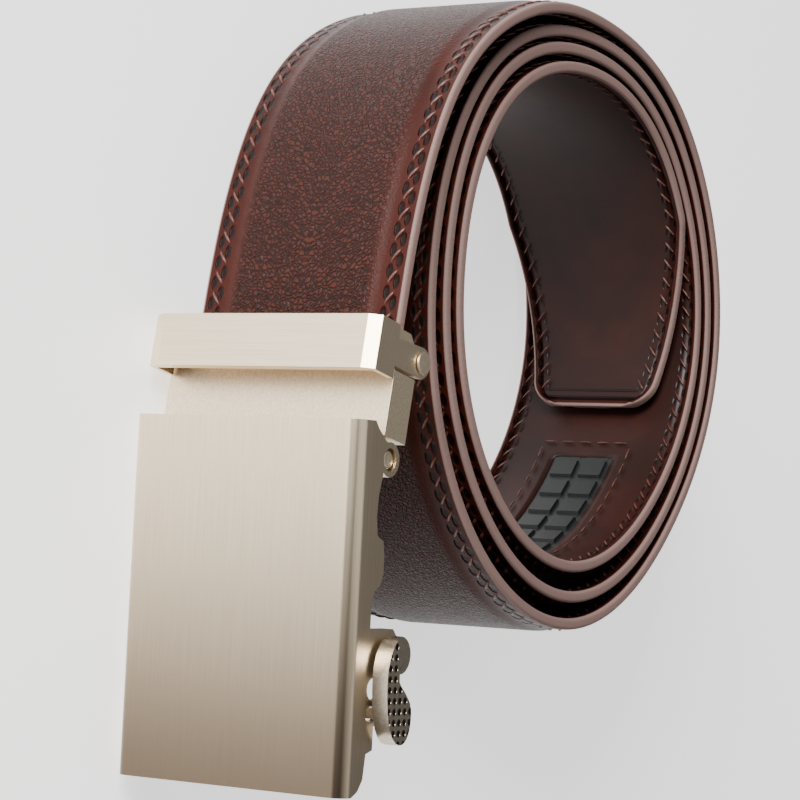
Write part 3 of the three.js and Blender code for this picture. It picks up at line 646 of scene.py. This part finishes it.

# %% [markdown]
# The release lever's thumb pad carries rows of round dimples for grip. They are pressed into the
# upper face alone, so the recipe makes them from the place in the buckle's plane and keeps them to
# faces that look up. They are bump and a painted shade that darkens each dimple, and the imported
# shape is smooth there.

# %% Release lever
DIMPLE_PITCH = (1.52, 1.42)
DIMPLE_START = (27.6, -2.05)
DIMPLE_RADIUS = 0.52
PAD_HEIGHT = 22.2
LEVER_NICKELS = colour(176, 164, 148), colour(198, 186, 168)
DIMPLE_SHADE_BROWN = colour(58, 46, 36)


def dimpled_nickel():
    """A dimple is where x squared plus y squared, counted from the nearest middle, is small."""
    recipe = Recipe("dimpled_nickel")
    texture = recipe.node("ShaderNodeTexCoord")
    place = texture.outputs["Object"]
    split = recipe.node("ShaderNodeSeparateXYZ", {0: place})
    total = None
    for number in range(2):
        start = (hinge_place[number] + DIMPLE_START[number]) * MM
        distance = recipe.math("SUBTRACT", split.outputs[number], start)
        steps = recipe.math("DIVIDE", distance, DIMPLE_PITCH[number] * MM)
        cell = recipe.math("SUBTRACT", recipe.math("FRACT", recipe.math("ADD", steps, 0.5)), 0.5)
        away = recipe.math("MULTIPLY", cell, DIMPLE_PITCH[number] / DIMPLE_RADIUS)
        square = recipe.math("MULTIPLY", away, away)
        total = square if total is None else recipe.math("ADD", total, square)
    upward = recipe.node("ShaderNodeSeparateXYZ", {0: texture.outputs["Normal"]}).outputs[2]
    top = recipe.math("GREATER_THAN", upward, 0.95)
    high = recipe.math("GREATER_THAN", split.outputs[2], (BUCKLE_MIDDLE + PAD_HEIGHT) * MM)
    pit = recipe.math("MULTIPLY", recipe.ramp(total, 1.15, 0.45), recipe.math("MULTIPLY", top, high))
    cast = recipe.noise(place, 2500.0, 3.0)
    tone = recipe.blend(recipe.ramp(cast, 0.3, 0.7), *LEVER_NICKELS)
    # painted shade: each dimple is coloured a dark brown
    tone = recipe.blend(pit, tone, DIMPLE_SHADE_BROWN)
    height = recipe.math("MULTIPLY_ADD", pit, -1.0, recipe.math("MULTIPLY", cast, 0.04))
    return recipe.finish(
        Base_Color=tone, Metallic=1.0, Roughness=0.33, Normal=recipe.bump(height, 0.9, 0.0003),
    )


rounded_copy("lever", "release_lever", 0.35, "lever", dimpled_nickel())
print("dimples", DIMPLE_RADIUS * 2, "mm wide")

# %% [markdown]
# The lining is a thin satin leather glued inside, with a long window for the toothed track. It is
# an open grid with the window's cells left out, and Solidify gives it the leather's thickness.

# %% Lining
LINING_BROWNS = colour(34, 14, 10), colour(46, 18, 12)
# The lining's hole colour is painted shade in the stitch pits.
LINING_HOLE_SHADE = colour(18, 8, 6)
LINING_INSET = 1.5
LINING_WALL = 0.5
WINDOW_HALF = 5.8


def lining_leather():
    recipe = Recipe("lining_leather")
    coordinates, along, inset = uv_across(recipe)
    grain = recipe.noise(coordinates, 1.8, 4.0, 0.6)
    broad = recipe.noise(coordinates, 0.08, 2.0)
    holes = stitch_holes(recipe, along, inset, ROW_INSETS, STITCH_PITCH, 0.8, 0.35)
    tone = recipe.blend(recipe.ramp(broad, 0.3, 0.7), *LINING_BROWNS)
    # painted shade: the stitch holes in the lining are coloured dark
    tone = recipe.blend(holes, tone, LINING_HOLE_SHADE)
    sunk = recipe.math("MULTIPLY", holes, 1.6)
    height = recipe.math("SUBTRACT", recipe.math("MULTIPLY", grain, 0.2), sunk)
    normal = recipe.bump(height, 0.4, 0.0003)
    return recipe.finish(Base_Color=tone, Roughness=0.42, Normal=normal, Specular_IOR_Level=0.25)


def lining_sheet():
    """A sheet whose columns are shares of its half width, with the window's cells left out."""
    start = LINING_INSET
    inner = np.concatenate([
        start + (TIP_CORNER - start) * np.linspace(0, 1, 8)[:-1],
        np.linspace(TIP_CORNER, TRACK_START, 110)[:-1],
        np.linspace(TRACK_START, TRACK_START + TRACK_LENGTH, 140),
        np.linspace(TRACK_START + TRACK_LENGTH, strap_length, 820)[1:],
    ])
    half = half_width(inner) - start
    share = np.linspace(0, 1, 9)
    up = np.concatenate([
        -half[:, None] + (half[:, None] - WINDOW_HALF) * share[None, :],
        np.linspace(-WINDOW_HALF, WINDOW_HALF, 7)[None, 1:-1] * np.ones((len(inner), 1)),
        WINDOW_HALF + (half[:, None] - WINDOW_HALF) * share[None, :],
    ], axis=1)
    columns = up.shape[1]
    along = np.repeat(inner[:, None], columns, axis=1)
    points = on_strap(along, np.full_like(up, -EDGE + LINING_WALL), up)
    faces = quads(len(inner), columns, False)
    row, column = faces[:, 0] // columns, faces[:, 0] % columns
    middle = (column >= len(share) - 1) & (column < columns - len(share))
    opened = middle & (inner[row] >= TRACK_START) & (inner[row] < TRACK_START + TRACK_LENGTH - 0.01)
    edge = np.minimum(half_width(along) - np.abs(up), along)
    uv = np.stack([along, edge], axis=-1)
    piece = mesh_object("lining_sheet", points.reshape(-1, 3), faces[~opened], uv.reshape(-1, 2))
    wall = piece.modifiers.new("leather thickness", "SOLIDIFY")
    wall.thickness = LINING_WALL * MM
    wall.offset = 1.0
    piece.data.materials.append(lining_leather())
    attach(piece, "root")
    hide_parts("lining")
    return piece


lining = lining_sheet()
print("lining faces:", len(lining.data.polygons))

# %% [markdown]
# A straight seam holds the lining down round the window. It uses the border's tubes, laid
# straight instead of slanted.

# %% Window seam
WINDOW_SEAM = 2.9
WINDOW_PITCH = 3.5
WINDOW_STITCH = WINDOW_PITCH * 0.75


def window_seam():
    """Straight stitches round the window: two long rows and one row across each end."""
    low = TRACK_START - WINDOW_SEAM
    high = TRACK_START + TRACK_LENGTH + WINDOW_SEAM
    side = WINDOW_HALF + WINDOW_SEAM
    along = np.arange(low, high - WINDOW_PITCH / 2, WINDOW_PITCH)
    across = np.arange(-side, side - WINDOW_PITCH / 2, WINDOW_PITCH)
    starts, ends = [], []
    for height in (-side, side):
        starts.append(np.stack([along, np.full_like(along, height)], axis=1))
        ends.append(starts[-1] + [WINDOW_STITCH, 0])
    for distance in (low, high):
        starts.append(np.stack([np.full_like(across, distance), across], axis=1))
        ends.append(starts[-1] + [0, WINDOW_STITCH])
    piece = stitches("window_seam", np.concatenate(starts), np.concatenate(ends), -EDGE, 0.18, 0.03)
    piece.data.materials.append(back_thread)
    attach(piece, "root")
    return piece


print("window seam faces:", len(window_seam().data.polygons))

# %% [markdown]
# The track is moulded in black plastic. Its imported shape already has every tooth, so it is shown as
# it is, with a faintly speckled finish.

# %% Toothed track
TRACK_BLACKS = colour(14, 15, 16), colour(26, 28, 28)


def track_plastic():
    recipe = Recipe("track_plastic")
    place = recipe.node("ShaderNodeTexCoord").outputs["Object"]
    speck = recipe.noise(place, 2200.0, 3.0)
    tone = recipe.blend(speck, *TRACK_BLACKS)
    return recipe.finish(Base_Color=tone, Roughness=0.45, Normal=recipe.bump(speck, 0.2, 0.00004))


track = frame["nodes"]["ratchet_track"]
track.data.materials.clear()
track.data.materials.append(track_plastic())
print("track triangles:", len(track.data.polygons))

# %% [markdown]
# The photograph was taken with a long lens from above the buckle and was then turned on its side,
# so the camera rolls by a little over a quarter turn. Azimuth and elevation say where it looks from.

# %% Camera
CAMERA_PLACE = (36.6, -390.3, 239.7)
CAMERA_AZIMUTH, CAMERA_ELEVATION, CAMERA_ROLL = -86.698, 31.501, 91.154
LENS, SENSOR = 120.9, 36


def turned_camera():
    """The frame's z axis points back from the belt; its x and y axes turn about it by the roll."""
    azimuth, elevation, roll = np.radians([CAMERA_AZIMUTH, CAMERA_ELEVATION, CAMERA_ROLL])
    level = math.cos(elevation)
    back = np.array([level * math.cos(azimuth), level * math.sin(azimuth), math.sin(elevation)])
    side = np.array([-math.sin(azimuth), math.cos(azimuth), 0.0])
    upright = np.cross(back, side)
    right = math.cos(roll) * side + math.sin(roll) * upright
    matrix = Matrix(np.array([right, np.cross(back, right), back]).T.tolist()).to_4x4()
    matrix.translation = Vector((np.array(CAMERA_PLACE) + to_model) * MM)
    data = bpy.data.cameras.new("camera")
    data.lens = LENS
    data.sensor_width = SENSOR
    camera = bpy.data.objects.new("camera", data)
    bpy.context.scene.collection.objects.link(camera)
    camera.matrix_world = matrix
    bpy.context.scene.camera = camera
    print("camera at", [round(value, 4) for value in matrix.translation])


turned_camera()

# %% [markdown]
# The belt lies on pale paper that glows a little, so that it looks white. A small lamp in front
# gives the highlights, and a wide one above keeps the shadows soft.

# %% Floor and light
FLOOR_HALF = 3.0
FLOOR_GLOW = 1.1
PAPER_WHITES = colour(252, 252, 252), colour(248, 248, 248)
WORLD_STRENGTH = 0.12
BELT_MIDDLE = (0, 0, 0.02)


def floor():
    size = FLOOR_HALF
    corners = [(-size, -size, 0), (size, -size, 0), (size, size, 0), (-size, size, 0)]
    piece = mesh_object("floor", corners, [(0, 1, 2, 3)], smooth=False)
    recipe = Recipe("floor_paper")
    place = recipe.node("ShaderNodeTexCoord").outputs["Object"]
    tone = recipe.blend(recipe.noise(place, 3.0), *PAPER_WHITES)
    glow = (1, 1, 1, 1)
    piece.data.materials.append(recipe.finish(
        Base_Color=tone, Roughness=0.9, Emission_Color=glow, Emission_Strength=FLOOR_GLOW,
    ))


def area_light(name, place, target, size, power):
    """A square lamp; its -Z axis, the way it shines, is turned towards the target."""
    data = bpy.data.lights.new(name, "AREA")
    data.shape = "RECTANGLE"
    data.size = size
    data.size_y = size
    data.energy = power
    light = bpy.data.objects.new(name, data)
    bpy.context.scene.collection.objects.link(light)
    light.location = place
    light.rotation_euler = (Vector(target) - Vector(place)).to_track_quat("-Z", "Y").to_euler()
    print(name, "light:", power, "W")


floor()
world = bpy.data.worlds.new("studio")
world.use_nodes = True
background = world.node_tree.nodes["Background"]
background.inputs[0].default_value = (1, 1, 1, 1)
background.inputs[1].default_value = WORLD_STRENGTH
bpy.context.scene.world = world
area_light("key", (-0.5, -0.75, 0.35), BELT_MIDDLE, 0.4, 21)
area_light("top", (0.0, 0.1, 1.1), (0, 0, 0), 1.4, 5)
